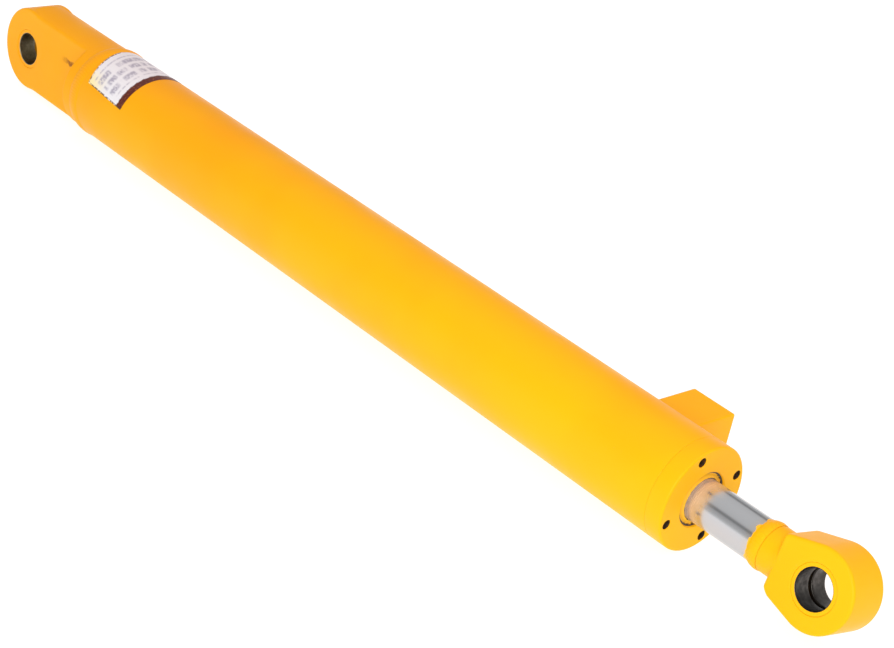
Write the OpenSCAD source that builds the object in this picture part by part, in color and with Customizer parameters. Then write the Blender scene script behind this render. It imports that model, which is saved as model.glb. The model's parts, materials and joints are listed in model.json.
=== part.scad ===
// Double-acting hydraulic cylinder, welded base eye and screwed gland.
// Millimetres. The origin is the centre of the base-eye pin bore, +X runs
// along the cylinder to the rod end, +Y is the base pin axis and +Z is up.
// The rod is drawn fully retracted.

/* [Barrel] */
// Outside diameter of the barrel tube
barrel_od = 100; // [96:1:110]
// Bore of the barrel tube
barrel_bore = 80; // [78:1:84]
// Distance from the base pin to the outer face of the gland
gland_face_x = 1019.5; // [900:0.5:1200]

/* [Rod] */
// Diameter of the chromed rod
rod_d = 40; // [36:1:42]
// Working stroke
stroke = 700; // [500:10:700]
// Chromed rod left showing when the cylinder is closed
rod_showing = 72; // [40:1:80]

/* [Base eye] */
// Diameter of the base-end bar that the eye is cut from
base_bar_d = 97; // [92:1:100]
// Diameter of the base bar's rounded end about the pin
base_eye_d = 91; // [86:1:96]
// Length from the base pin to the end of the base-end bar
base_bar_len = 129; // [125:1:132]
// Length from the base pin to the shoulder where the flats stop
flat_len = 112; // [90:1:116]

/* [Rod eye] */
// Distance from the gland face to the rod pin when closed
rod_pin_reach = 138.5; // [120:0.5:170]
// Outside diameter of the rod eye
rod_eye_d = 74; // [70:1:80]
// Height of the rod eye's block at its shoulder
shoulder_h = 53; // [48:1:58]
// Distance from the rod pin back to the shoulder
shoulder_len = 42.5; // [38:0.5:46]
// Turn of the rod eye about the rod, against the base eye
rod_turn = -12.3; // [-90:0.1:90]

/* [Pins] */
// Pin diameter of both eyes
pin_d = 35; // [30:1:36]
// Width of both eyes
eye_w = 45; // [42:1:50]

/* [Ports] */
// Length of the rod-end port block along the barrel
block_l = 49; // [44:1:54]
// Width of the rod-end port block across the barrel
block_w = 52; // [44:1:56]
// Height of the rod-end port block's outer face above the barrel axis
block_top = 102; // [96:1:110]
// Distance from the gland face back to the middle of the port block
block_back = 84.5; // [82:0.5:90]
// Diameter of the base-end port boss
boss_d = 38; // [34:1:42]
// Distance from the base pin to the base-end port
base_port_x = 168; // [164:1:172]

/* [Hidden] */
$fn = 96;

// Clearances
running = 0.05;
seated = 0.02;

// Barrel and base end
barrel_r = barrel_od / 2;
bore_r = barrel_bore / 2;
bar_r = base_bar_d / 2;
base_eye_r = base_eye_d / 2;
tube_start = base_bar_len + 2.5;
flange_t = 18;
tube_end = gland_face_x - flange_t;
spigot_end = base_bar_len + 21;
weld_prep = 8.2;
root_r = barrel_r - weld_prep;
weld_crown = 1.6;

// Gland
thread_r = 43;
thread_start = tube_end - 35;
gland_end = tube_end - 60;
pilot_ring_x = gland_end + 8;
spanner_pcr = 42;
spanner_r = 4.5;
spanner_deep = 10;
spanner_first = 19;
wiper_recess_r = 26;
wiper_recess = 8;
seal_groove_r = 25;
guide_groove_r = 22.5;
rod_seal_x = tube_end - 7.5;
front_guide_x = tube_end - 21.5;
buffer_x = tube_end - 33;
rear_guide_x = tube_end - 51.5;
rod_seal_w = 10;
front_guide_w = 10;
buffer_w = 6.5;
rear_guide_w = 15;

// Rod and piston
rod_r = rod_d / 2;
rod_tail = spigot_end + 0.5;
piston_front = gland_end - stroke - 0.5;
piston_l = 61;
piston_back = piston_front - piston_l;
stub_r = 15;
piston_r = bore_r - 0.4;
nut_t = 26;
nut_af = 46;
nut_back = piston_back - nut_t;
ring_groove_r = 37.5;
ring_w = 15;
rear_ring_x = piston_back + 4;
front_ring_x = piston_front - 4 - ring_w;
seal_slot_r = 32.5;
seal_slot_w = 9;
seal_slot_x = (piston_back + piston_front) / 2 - seal_slot_w / 2;
bore_ring_x = piston_front - 12;
bore_ring_w = 4;

// Rod eye
rod_pin_x = gland_face_x + rod_pin_reach;
collar_x = gland_face_x + rod_showing;
collar_r = 21.4;
rod_front = collar_x + 2;
eye_r = rod_eye_d / 2;

// Pin bushes and grease points
bush_wall = 4;
bush_r = pin_d / 2 + bush_wall;
bush_gap = 5;
bush_inset = 0.5;
bush_l = (eye_w - bush_gap) / 2 - bush_inset;
grease_angle = 225;
nipple_shank_r = 3;
nipple_seat = 4;

// Ports, for a half-inch pipe thread
port_r = 9.3;
port_deep = 17;
port_drill_r = 6;
block_x = gland_face_x - block_back;
block_port_y = 80;
boss_top = barrel_r + 14;
fillet = 5;

// Label
label_x = 147;
label_l = 69;
label_from = 52;
label_to = 156;
label_t = 0.25;

// Round solid about the cylinder axis, from x0 to x1
module bar_x(x0, x1, r) {
    translate([x0, 0, 0]) rotate([0, 90, 0]) cylinder(h = x1 - x0, r = r);
}

// Square-cut ring about the cylinder axis
module ring_x(x0, x1, r_in, r_out) {
    turned([[x0, r_in], [x1, r_in], [x1, r_out], [x0, r_out]]);
}

// Solid turned about the cylinder axis from a list of [x, radius]
module turned(outline) {
    rotate([0, 90, 0])
        rotate_extrude()
            polygon([for (p = outline) [p[1], p[0]]]);
}

// Round hole or pin along Y through the point [x, 0, 0]
module bar_y(x, y0, y1, r) {
    translate([x, y0, 0]) rotate([-90, 0, 0]) cylinder(h = y1 - y0, r = r);
}

// Puts a child drawn at the origin onto the turned rod eye
module at_rod_eye() {
    rotate([rod_turn, 0, 0]) translate([rod_pin_x, 0, 0]) children();
}

// Drilling from an eye's outside in to its grease gap
module grease_drilling(r_out) {
    rotate([0, -grease_angle, 0]) {
        rotate([0, 90, 0]) cylinder(h = r_out + 5, r = 1.5);
        translate([r_out - nipple_seat - 5, 0, 0]) rotate([0, 90, 0])
            cylinder(h = nipple_seat + 12, r = nipple_shank_r + seated);
        translate([r_out - nipple_seat, 0, 0]) rotate([0, 90, 0])
            cylinder(h = nipple_seat + 12, r = 8);
    }
}

// Grease nipple standing in its spot face
module nipple(r_out) {
    rotate([0, -grease_angle, 0])
        translate([r_out - nipple_seat, 0, 0]) rotate([0, 90, 0]) {
            translate([0, 0, -4.5]) cylinder(h = 4.5, r = nipple_shank_r);
            cylinder(h = 4, r = 5.2, $fn = 6);
            translate([0, 0, 4]) cylinder(h = 3, r1 = 3.4, r2 = 2.2);
            translate([0, 0, 7]) cylinder(h = 1.5, r = 2.2);
            translate([0, 0, 8.5]) cylinder(h = 1.5, r1 = 3.2, r2 = 2.6);
        }
}

// Pin bush with chamfered mouths, running from y0 to y0 + bush_l
module bush(y0) {
    chamfer = 0.8;
    bore = pin_d / 2;
    outer = bush_r - seated;
    translate([0, y0, 0]) rotate([-90, 0, 0])
        rotate_extrude()
            polygon([
                [bore, chamfer], [bore + chamfer, 0],
                [outer - chamfer, 0], [outer, chamfer],
                [outer, bush_l - chamfer], [outer - chamfer, bush_l],
                [bore + chamfer, bush_l], [bore, bush_l - chamfer],
            ]);
}

module near_bush() {
    bush(-eye_w / 2 + bush_inset);
}

module far_bush() {
    bush(bush_gap / 2);
}

module barrel_tube() {
    color("gold") difference() {
        turned([
            [tube_start, bore_r], [thread_start, bore_r],
            [thread_start, thread_r], [tube_end, thread_r],
            [tube_end, barrel_r],
            [tube_start + weld_prep, barrel_r], [tube_start, root_r],
        ]);
        bar_y(base_port_x, 0, barrel_r + 1, port_drill_r);
        bar_y(base_port_x, boss_top - port_deep, barrel_r + 1, port_r);
        bar_y(block_x, 0, barrel_r + 1, port_drill_r);
    }
}

// Round bar with two flats, a round eye about the pin, and a spigot that
// centres the tube
module base_eye_forging() {
    color("gold") difference() {
        union() {
            bar_y(0, -eye_w / 2, eye_w / 2, base_eye_r);
            intersection() {
                bar_x(0, flat_len + 1, bar_r);
                translate([0, -eye_w / 2, -bar_r])
                    cube([flat_len + 1, eye_w, base_bar_d]);
            }
            bar_x(flat_len, base_bar_len, bar_r);
            bar_x(base_bar_len - 1, spigot_end, bore_r - running);
        }
        bar_y(0, -eye_w, eye_w, bush_r);
        grease_drilling(base_eye_r);
    }
}

// Butt weld that fills the bevel between bar and tube, with a low crown
module base_weld() {
    steps = 8;
    left = base_bar_len - 3;
    right = tube_start + weld_prep + 3;
    crown = [for (i = [0 : steps])
        let (t = i / steps)
        [right + (left - right) * t,
         barrel_r + (bar_r - barrel_r) * t + seated + weld_crown * sin(180 * t)]];
    color("gold") turned(concat(
        [
            [base_bar_len + seated, root_r], [tube_start - seated, root_r],
            [tube_start + weld_prep - 2 * seated, barrel_r + seated],
        ],
        crown,
        [[base_bar_len + seated, bar_r + seated]]
    ));
}

module base_bush_near() {
    color("dimgray") near_bush();
}

module base_bush_far() {
    color("dimgray") far_bush();
}

module base_grease_nipple() {
    color("goldenrod") nipple(base_eye_r);
}

// Block of square bar whose foot is hollowed to sit on the tube. Its port
// faces back along the barrel and meets a drilling down to the bore.
module rod_port_block() {
    color("gold") difference() {
        translate([block_x - block_l / 2, 0, -block_w / 2])
            cube([block_l, block_top, block_w]);
        bar_x(0, gland_face_x, barrel_r + running);
        bar_y(block_x, 0, block_port_y, port_drill_r);
        translate([block_x - block_l / 2 - 1, block_port_y, 0])
            rotate([0, 90, 0]) cylinder(h = port_deep + 1, r = port_r);
        translate([block_x - block_l / 2 - 1, block_port_y, 0])
            rotate([0, 90, 0]) cylinder(h = block_l / 2 + 1, r = port_drill_r);
    }
}

// Band of weld round the foot of the port block
module rod_port_weld() {
    color("gold") difference() {
        intersection() {
            translate([block_x - block_l / 2 - fillet, 0, -block_w / 2 - fillet])
                cube([block_l + 2 * fillet, block_top, block_w + 2 * fillet]);
            bar_x(0, tube_end, barrel_r + fillet);
        }
        bar_x(0, gland_face_x, barrel_r + seated);
        translate([block_x - block_l / 2 - seated, 0, -block_w / 2 - seated])
            cube([block_l + 2 * seated, block_top + 1, block_w + 2 * seated]);
    }
}

module base_port_boss() {
    color("gold") difference() {
        bar_y(base_port_x, 0, boss_top, boss_d / 2);
        bar_x(0, gland_face_x, barrel_r + running);
        bar_y(base_port_x, boss_top - port_deep, boss_top + 1, port_r);
        bar_y(base_port_x, 0, boss_top, port_drill_r);
    }
}

module base_port_weld() {
    color("gold") difference() {
        intersection() {
            bar_y(base_port_x, 0, boss_top, boss_d / 2 + fillet);
            bar_x(0, tube_end, barrel_r + fillet);
        }
        bar_x(0, gland_face_x, barrel_r + seated);
        bar_y(base_port_x, 0, boss_top, boss_d / 2 + seated);
    }
}

// Screwed gland: flange, thread and pilot outside, seal grooves inside
module gland() {
    bore = rod_r + 0.4;
    edge = 1.5;
    pilot = bore_r - running;
    color("gold") difference() {
        turned([
            [gland_end, bore],
            [rear_guide_x, bore], [rear_guide_x, guide_groove_r],
            [rear_guide_x + rear_guide_w, guide_groove_r],
            [rear_guide_x + rear_guide_w, bore],
            [buffer_x, bore], [buffer_x, seal_groove_r],
            [buffer_x + buffer_w, seal_groove_r], [buffer_x + buffer_w, bore],
            [front_guide_x, bore], [front_guide_x, guide_groove_r],
            [front_guide_x + front_guide_w, guide_groove_r],
            [front_guide_x + front_guide_w, bore],
            [rod_seal_x, bore], [rod_seal_x, seal_groove_r],
            [rod_seal_x + rod_seal_w, seal_groove_r],
            [rod_seal_x + rod_seal_w, bore],
            [gland_face_x - wiper_recess, bore],
            [gland_face_x - wiper_recess, wiper_recess_r],
            [gland_face_x - 1, wiper_recess_r],
            [gland_face_x, wiper_recess_r + 1],
            [gland_face_x, barrel_r - edge],
            [gland_face_x - edge, barrel_r],
            [tube_end + seated, barrel_r],
            [tube_end + seated, thread_r - running],
            [thread_start + seated, thread_r - running],
            [thread_start + seated, pilot],
            [pilot_ring_x + 4, pilot], [pilot_ring_x + 4, pilot - 4.3],
            [pilot_ring_x - 4, pilot - 4.3], [pilot_ring_x - 4, pilot],
            [gland_end + 2, pilot], [gland_end, pilot - 2],
        ]);
        for (i = [0 : 3])
            rotate([spanner_first + 90 * i, 0, 0])
                translate([gland_face_x - spanner_deep, spanner_pcr, 0])
                    rotate([0, 90, 0]) cylinder(h = spanner_deep + 1, r = spanner_r);
    }
}

// Squeezed O-ring in the pilot groove, round at its corners
module gland_o_ring() {
    low = bore_r - running - 4.3 + seated;
    high = bore_r - running;
    color("black") turned([
        [pilot_ring_x - 1.2, low], [pilot_ring_x + 2.6, low],
        [pilot_ring_x + 3.8, low + 1.4], [pilot_ring_x + 3.8, high - 1.4],
        [pilot_ring_x + 2.6, high], [pilot_ring_x - 1.2, high],
        [pilot_ring_x - 2.2, high - 1.4], [pilot_ring_x - 2.2, low + 1.4],
    ]);
}

module gland_backup_ring() {
    color("ivory")
        ring_x(pilot_ring_x - 3.9, pilot_ring_x - 2.3,
               bore_r - running - 4.3 + seated, bore_r - running);
}

module front_guide_ring() {
    color("saddlebrown")
        ring_x(front_guide_x + 0.1, front_guide_x + front_guide_w - 0.1,
               rod_r + running, guide_groove_r - seated);
}

module rear_guide_ring() {
    color("saddlebrown")
        ring_x(rear_guide_x + 0.1, rear_guide_x + rear_guide_w - 0.1,
               rod_r + running, guide_groove_r - seated);
}

// Lipped ring in a groove from x0, with its open side towards the piston
module lip_ring(x0, w) {
    low = rod_r + running;
    high = seal_groove_r - seated;
    middle = (low + high) / 2;
    turned([
        [x0 + 0.2, low], [x0 + w - 0.2, low + 0.3],
        [x0 + w - 0.2, high - 0.3], [x0 + 0.2, high],
        [x0 + 0.2, middle + 1.1], [x0 + w * 0.45, middle],
        [x0 + 0.2, middle - 1.1],
    ]);
}

module rod_seal() {
    color("midnightblue") lip_ring(rod_seal_x, rod_seal_w);
}

module buffer_seal() {
    color("darkolivegreen") lip_ring(buffer_x, buffer_w);
}

// Wiper pressed into the open recess, with its lip on the rod
module wiper() {
    back = gland_face_x - wiper_recess + seated;
    color("black") turned([
        [back, rod_r + 1.6], [back + 3.4, rod_r + 1.6],
        [gland_face_x - 1.4, rod_r + running],
        [gland_face_x - 0.6, rod_r + 0.7],
        [gland_face_x - 3.2, rod_r + 3.4],
        [gland_face_x - 3.2, wiper_recess_r - 1.6],
        [gland_face_x - 1.6, wiper_recess_r - 1],
        [gland_face_x - 1.6, wiper_recess_r - seated],
        [back, wiper_recess_r - seated],
    ]);
}

// Thin label bent round the upper side of the tube
module label() {
    color("white")
        translate([label_x, 0, 0]) rotate([label_from, 0, 0])
            rotate([0, 90, 0]) rotate([0, 0, 90])
                rotate_extrude(angle = label_to - label_from)
                    translate([barrel_r + seated, 0])
                        square([label_t, label_l]);
}

module piston_rod() {
    color("silver") turned([
        [rod_tail, 0], [rod_front + 8, 0], [rod_front + 8, 10],
        [rod_front, 10], [rod_front, 13], [rod_front - 5, rod_r],
        [piston_front + 1.5, rod_r], [piston_front, rod_r - 1.5],
        [piston_front, stub_r], [rod_tail + 1.5, stub_r],
        [rod_tail, stub_r - 1.5],
    ]);
}

// Rod eye: a round eye, two sides that open out to it from the shoulder,
// and a collar that meets the rod
module rod_eye() {
    reach = norm([shoulder_len, shoulder_h / 2]);
    tilt = atan2(shoulder_h / 2, -shoulder_len) - acos(eye_r / reach);
    touch = [eye_r * cos(tilt), eye_r * sin(tilt)];
    neck_end = rod_front + 2 * seated - rod_pin_x;
    color("gold") at_rod_eye() difference() {
        union() {
            bar_y(0, -eye_w / 2, eye_w / 2, eye_r);
            translate([0, eye_w / 2, 0]) rotate([90, 0, 0])
                linear_extrude(height = eye_w)
                    polygon([
                        [-shoulder_len, shoulder_h / 2], touch,
                        [touch[0], -touch[1]],
                        [-shoulder_len, -shoulder_h / 2],
                    ]);
            turned([
                [neck_end, 0], [neck_end, 13], [neck_end + 5, collar_r],
                [-shoulder_len - 5, collar_r], [-shoulder_len + 1, collar_r + 1],
                [-shoulder_len + 1, 0],
            ]);
        }
        bar_y(0, -eye_w, eye_w, bush_r);
        bar_x(neck_end - 1, neck_end + 8.5, 10 + seated);
        grease_drilling(eye_r);
    }
}

// Ring of weld in the vee between rod and collar
module rod_eye_weld() {
    half = 5 - 2 * seated;
    color("gold") turned([
        [rod_front - half, rod_r + seated],
        [rod_front + seated / 2, 13], [rod_front + 1.5 * seated, 13],
        [rod_front + half, collar_r],
        [rod_front + half, collar_r + 0.2],
        [rod_front + 2, collar_r + 0.9], [rod_front - 1.5, collar_r + 0.8],
        [rod_front - 5.5, rod_r + 0.9], [rod_front - 6.5, rod_r + seated],
    ]);
}

module rod_bush_near() {
    color("dimgray") at_rod_eye() near_bush();
}

module rod_bush_far() {
    color("dimgray") at_rod_eye() far_bush();
}

module rod_grease_nipple() {
    color("goldenrod") at_rod_eye() nipple(eye_r);
}

module piston() {
    bore = stub_r + seated;
    color("lightsteelblue") turned([
        [piston_back, bore], [bore_ring_x, bore], [bore_ring_x, bore + 2.4],
        [bore_ring_x + bore_ring_w, bore + 2.4],
        [bore_ring_x + bore_ring_w, bore],
        [piston_front - seated, bore],
        [piston_front - seated, piston_r - 2], [piston_front - 2, piston_r],
        [front_ring_x + ring_w, piston_r],
        [front_ring_x + ring_w, ring_groove_r], [front_ring_x, ring_groove_r],
        [front_ring_x, piston_r],
        [seal_slot_x + seal_slot_w, piston_r],
        [seal_slot_x + seal_slot_w, seal_slot_r], [seal_slot_x, seal_slot_r],
        [seal_slot_x, piston_r],
        [rear_ring_x + ring_w, piston_r],
        [rear_ring_x + ring_w, ring_groove_r], [rear_ring_x, ring_groove_r],
        [rear_ring_x, piston_r],
        [piston_back + 2, piston_r], [piston_back, piston_r - 2],
    ]);
}

module piston_bore_ring() {
    color("black")
        ring_x(bore_ring_x + 0.3, bore_ring_x + bore_ring_w - 0.3,
               stub_r + seated, stub_r + 2.4);
}

// Hexagon nut with a blind hole across one flat for its lock screw
module piston_nut() {
    color("slategray") difference() {
        translate([nut_back, 0, 0]) rotate([0, 90, 0])
            cylinder(h = nut_t - seated, r = nut_af / sqrt(3), $fn = 6);
        bar_x(nut_back - 1, nut_back + nut_t + 1, stub_r + seated);
        bar_y(nut_back + nut_t / 2, 0, nut_af, 4 + seated);
    }
}

module nut_lock_screw() {
    middle = nut_back + nut_t / 2;
    color("black") difference() {
        bar_y(middle, stub_r + running, nut_af / 2 - 1, 4);
        translate([middle, nut_af / 2 - 4, 0]) rotate([-90, 0, 0])
            cylinder(h = 4, r = 2.3, $fn = 6);
    }
}

module piston_seal() {
    color("darkgreen")
        ring_x(seal_slot_x + 0.1, seal_slot_x + seal_slot_w - 0.1,
               ring_groove_r - 0.6, bore_r - running);
}

module seal_energizer() {
    low = seal_slot_r + running;
    high = ring_groove_r - 0.65;
    color("black") turned([
        [seal_slot_x + 1.3, low], [seal_slot_x + seal_slot_w - 1.3, low],
        [seal_slot_x + seal_slot_w - 0.2, low + 1.2],
        [seal_slot_x + seal_slot_w - 0.2, high - 1.2],
        [seal_slot_x + seal_slot_w - 1.3, high], [seal_slot_x + 1.3, high],
        [seal_slot_x + 0.2, high - 1.2], [seal_slot_x + 0.2, low + 1.2],
    ]);
}

// Wear ring in a piston groove from x0
module wear_ring(x0) {
    ring_x(x0 + 0.1, x0 + ring_w - 0.1, ring_groove_r + running, bore_r - running);
}

module rear_wear_ring() {
    color("saddlebrown") wear_ring(rear_ring_x);
}

module front_wear_ring() {
    color("saddlebrown") wear_ring(front_ring_x);
}

barrel_tube();
base_eye_forging();
base_weld();
base_bush_near();
base_bush_far();
base_grease_nipple();
rod_port_block();
rod_port_weld();
base_port_boss();
base_port_weld();
gland();
gland_o_ring();
gland_backup_ring();
front_guide_ring();
rear_guide_ring();
rod_seal();
buffer_seal();
wiper();
label();
piston_rod();
rod_eye();
rod_eye_weld();
rod_bush_near();
rod_bush_far();
rod_grease_nipple();
piston();
piston_bore_ring();
piston_nut();
nut_lock_screw();
piston_seal();
seal_energizer();
rear_wear_ring();
front_wear_ring();
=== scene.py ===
"""Looks of a welded hydraulic cylinder with a chromed rod, built round its CAD frame.

Metres, in the frame of the CAD model: the origin is the centre of the base eye's
pin, +X runs to the rod end, +Y is the base pin's axis and +Z is up.
"""
import json
import math

import bmesh
import bpy
import numpy as np
from mathutils import Matrix, Vector


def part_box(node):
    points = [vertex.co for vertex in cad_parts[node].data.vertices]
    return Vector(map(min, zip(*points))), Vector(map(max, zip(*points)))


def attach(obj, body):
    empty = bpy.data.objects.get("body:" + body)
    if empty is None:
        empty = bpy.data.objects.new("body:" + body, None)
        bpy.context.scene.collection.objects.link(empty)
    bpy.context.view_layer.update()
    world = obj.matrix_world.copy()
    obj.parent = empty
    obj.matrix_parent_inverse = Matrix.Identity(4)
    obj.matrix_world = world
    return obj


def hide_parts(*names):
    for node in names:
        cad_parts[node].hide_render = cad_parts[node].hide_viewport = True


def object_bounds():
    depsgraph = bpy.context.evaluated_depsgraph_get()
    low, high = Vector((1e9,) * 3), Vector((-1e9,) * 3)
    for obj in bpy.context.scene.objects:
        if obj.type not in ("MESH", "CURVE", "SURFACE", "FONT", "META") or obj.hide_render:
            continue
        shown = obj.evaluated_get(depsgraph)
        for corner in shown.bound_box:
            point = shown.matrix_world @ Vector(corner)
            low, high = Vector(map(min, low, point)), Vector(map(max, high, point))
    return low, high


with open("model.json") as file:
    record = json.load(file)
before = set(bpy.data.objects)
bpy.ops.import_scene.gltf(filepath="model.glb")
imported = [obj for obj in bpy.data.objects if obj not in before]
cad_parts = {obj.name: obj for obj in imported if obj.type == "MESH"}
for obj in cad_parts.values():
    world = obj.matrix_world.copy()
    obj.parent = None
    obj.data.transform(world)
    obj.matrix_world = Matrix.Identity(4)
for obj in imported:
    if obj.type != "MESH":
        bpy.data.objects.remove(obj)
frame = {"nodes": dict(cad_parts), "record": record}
cad_box = [list(corner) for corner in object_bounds()]

# ------------------------------------------------------------------ sizes

MOUNTS = {mount["name"]: mount for mount in frame["record"]["mounts"]}


def reach(node, axis=0):
    """Lowest and highest place of a CAD node along one axis."""
    low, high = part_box(node)
    return low[axis], high[axis]


# Points in a ring round the cylinder's axis, spans in a rounded corner, a full turn
ROUND = 192
ARC_STEPS = 6
TURN = 2 * math.pi

# Points closer than this are one point
SAME_POINT = 2e-6

# Barrel, base bar and gland
BARREL_R = 0.050
BORE_R = 0.040
BAR_R = 0.0485
TUBE_START, TUBE_END = reach("barrel_tube")
GLAND_END, GLAND_FACE = reach("gland")
SPIGOT_END = reach("base_eye_forging")[1]
BAR_END = TUBE_START - 0.0025
FLANGE_START = BAR_END - 0.017
WELD_PREP = 0.0082
ROOT_R = BARREL_R - WELD_PREP
THREAD_R = 0.043
THREAD_START = TUBE_END - 0.035
JOINT_GAP = 0.0004

# Spanner holes and wiper recess in the gland's face
SPANNER_PCR = 0.042
SPANNER_R = 0.0045
SPANNER_DEEP = 0.010
SPANNER_FIRST = math.radians(19)
RECESS_R = 0.026
RECESS_DEEP = 0.008

# Eyes and their pins
PIN_R = MOUNTS["base_eye_bore"]["dims"]["r_mm"] / 1000
SEAT_R = 0.0215
EYE_HALF = 0.0225
BASE_EYE_R = 0.0455
EDGE = 0.0030
MOUTH = 0.0010
BUSH_INSET = 0.0005
BUSH_GAP = 0.005
ROD_PIN = np.array(MOUNTS["rod_eye_bore"]["pos_m"], float)
ROD_PIN_AXIS = np.array(MOUNTS["rod_eye_bore"]["axis"], float)
ROD_EYE_R = 0.037
SHOULDER_HALF = 0.0265
SHOULDER_BACK = -0.0425

# Rod
ROD_R = 0.020
ROD_TAIL, ROD_TIP = reach("piston_rod")
ROD_FRONT = ROD_TIP - 0.008
PISTON_FRONT = reach("piston")[1]
COLLAR_R = 0.0214

# Ports
PORT_R = MOUNTS["rod_port"]["dims"]["r_mm"] / 1000
PORT_DEEP = 0.017
PORT_DRILL_R = 0.006
PORT_CONE = 0.003
THREAD_PITCH = 0.0018
THREAD_DEEP = 0.0009
BLOCK_BACK, BLOCK_FRONT = reach("rod_port_block")
BLOCK_TOP = reach("rod_port_block", 1)[1]
BLOCK_HALF = reach("rod_port_block", 2)[1]
BLOCK_PORT_Y = MOUNTS["rod_port"]["pos_m"][1]
BOSS_X, BOSS_TOP = MOUNTS["base_port"]["pos_m"][:2]
BOSS_R = 0.019
FOOT_SUNK = 0.0003
WELD_LEG = 0.0048
WELD_PITCH = 0.0032

X_AXIS = np.array([1.0, 0.0, 0.0])
Y_AXIS = np.array([0.0, 1.0, 0.0])
HERE = np.zeros(3)

# ------------------------------------------------------- shapes as arrays


def unit(vectors):
    """Vectors divided by their own lengths."""
    return vectors / np.linalg.norm(vectors, axis=-1, keepdims=True)


def eased(share):
    """Share from 0 to 1 with a slow start and end: 3 s^2 - 2 s^3."""
    share = np.clip(share, 0, 1)
    return share * share * (3 - 2 * share)


def rounded(corners, cuts, closed=False):
    """Outline through corners, each cut back by its own length and joined by a parabola arc."""
    corners = np.asarray(corners, float)
    cuts = np.broadcast_to(cuts, len(corners))
    arc = np.linspace(0, 1, ARC_STEPS + 1)[:, None]
    runs = []
    for i, (corner, cut) in enumerate(zip(corners, cuts)):
        at_end = not closed and i in (0, len(corners) - 1)
        if cut == 0 or at_end:
            runs.append(corner[None])
            continue
        start = corner + cut * unit(corners[i - 1] - corner)
        end = corner + cut * unit(corners[(i + 1) % len(corners)] - corner)
        runs.append((1 - arc) ** 2 * start + 2 * arc * (1 - arc) * corner + arc**2 * end)
    return np.concatenate(runs)


def spaced(outline, step, closed=False):
    """The outline's own points, with more between them so that no span is longer than step."""
    ends = np.roll(outline, -1, 0) if closed else outline[1:]
    runs = []
    for start, end in zip(outline, ends):
        count = max(1, math.ceil(np.linalg.norm(end - start) / step))
        share = np.arange(count)[:, None] / count
        runs.append(start + (end - start) * share)
    if not closed:
        runs.append(outline[-1:])
    return np.concatenate(runs)


def drawn_in(loop, edge):
    """A closed loop moved towards the origin until its own sides have moved in by edge.

    A point on the ray that makes the angle a with the loop's normal moves edge / cos a.
    """
    heading = unit(loop)
    lean = np.sum(heading * outward(loop), -1, keepdims=True)
    return loop - heading * edge / np.maximum(lean, 0.3)


def outward(loop):
    """Normals of a closed flat loop: its neighbours' difference turned a quarter, away from its middle."""
    along = np.roll(loop, -1, 0) - np.roll(loop, 1, 0)
    normal = unit(np.stack([along[:, 1], -along[:, 0]], -1))
    return normal * np.sign(np.sum(normal * (loop - loop.mean(0))))


def turned(profile, count=ROUND, start=0.0, swell=None):
    """Profile of [x, r] carried round the X axis: (x, r cos a, r sin a), r growing by swell(x, a)."""
    x, r = np.asarray(profile, float).T[:, :, None]
    a = start + np.arange(count) / count * TURN
    if swell is not None:
        r = r + swell(x, a)
    return np.stack(np.broadcast_arrays(x, r * np.cos(a), r * np.sin(a)), -1)


def placed(points, origin, axis, side):
    """Points drawn along X, set down at origin with X along axis and Y along side."""
    axis = unit(np.asarray(axis, float))
    side = np.asarray(side, float)
    side = unit(side - axis * (side @ axis))
    return origin + points @ np.array([axis, side, np.cross(axis, side)])


def bend(start, corner, end, steps=7):
    """Loops on a parabola arc that leaves one loop towards the corner loop and ends on another."""
    t = np.linspace(0, 1, steps + 1)[:, None, None]
    return (1 - t) ** 2 * start + 2 * t * (1 - t) * corner + t**2 * end


def between(start, end, steps, crowd=1.0):
    """Loops from one loop to another, crowded towards the second as crowd grows above 1."""
    t = (1 - (1 - np.linspace(0, 1, steps + 1)) ** crowd)[:, None, None]
    return start + (end - start) * t


def thread(depth, angle):
    """How far a vee thread's helix is cut into the wall, fading out at both ends of the depth."""
    turns = depth / THREAD_PITCH - angle / TURN
    vee = np.abs(2 * (turns - np.floor(turns)) - 1)
    fade = eased(depth / THREAD_PITCH) * eased((PORT_DEEP * 0.85 - depth) / THREAD_PITCH)
    return THREAD_DEEP * vee * fade


class Shell:
    """Points and faces of one piece, gathered patch by patch and joined where patches meet."""

    def __init__(self):
        self.points = []
        self.faces = []
        self.finish = []
        self.count = 0

    def add(self, points, faces, finish):
        """Takes points and faces, with one finish number for all faces or one for each."""
        self.points.append(points)
        self.faces.extend((faces + self.count).tolist())
        self.finish.extend(np.broadcast_to(finish, len(faces)).tolist())
        self.count += len(points)
        return self

    def grid(self, points, closed_rows=False, closed_columns=True, finish=0):
        """Quads between neighbours of a grid of points (rows, columns, 3)."""
        rows, columns = points.shape[:2]
        r, c = np.meshgrid(
            np.arange(rows if closed_rows else rows - 1),
            np.arange(columns if closed_columns else columns - 1),
            indexing="ij",
        )
        r_next = (r + 1) % rows
        c_next = (c + 1) % columns
        corners = [r * columns + c, r * columns + c_next,
                   r_next * columns + c_next, r_next * columns + c]
        return self.add(points.reshape(-1, 3), np.stack(corners, -1).reshape(-1, 4), finish)

    def fan(self, ring, finish=0):
        """Triangles from a ring of points to its middle."""
        count = len(ring)
        i = np.arange(count)
        faces = np.stack([i, (i + 1) % count, np.full(count, count)], -1)
        return self.add(np.vstack([ring, ring.mean(0)]), faces, finish)

    def solid(self, loops):
        """Loops joined into a skin, with a fan over the first and the last."""
        return self.grid(loops).fan(loops[0]).fan(loops[-1])


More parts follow.
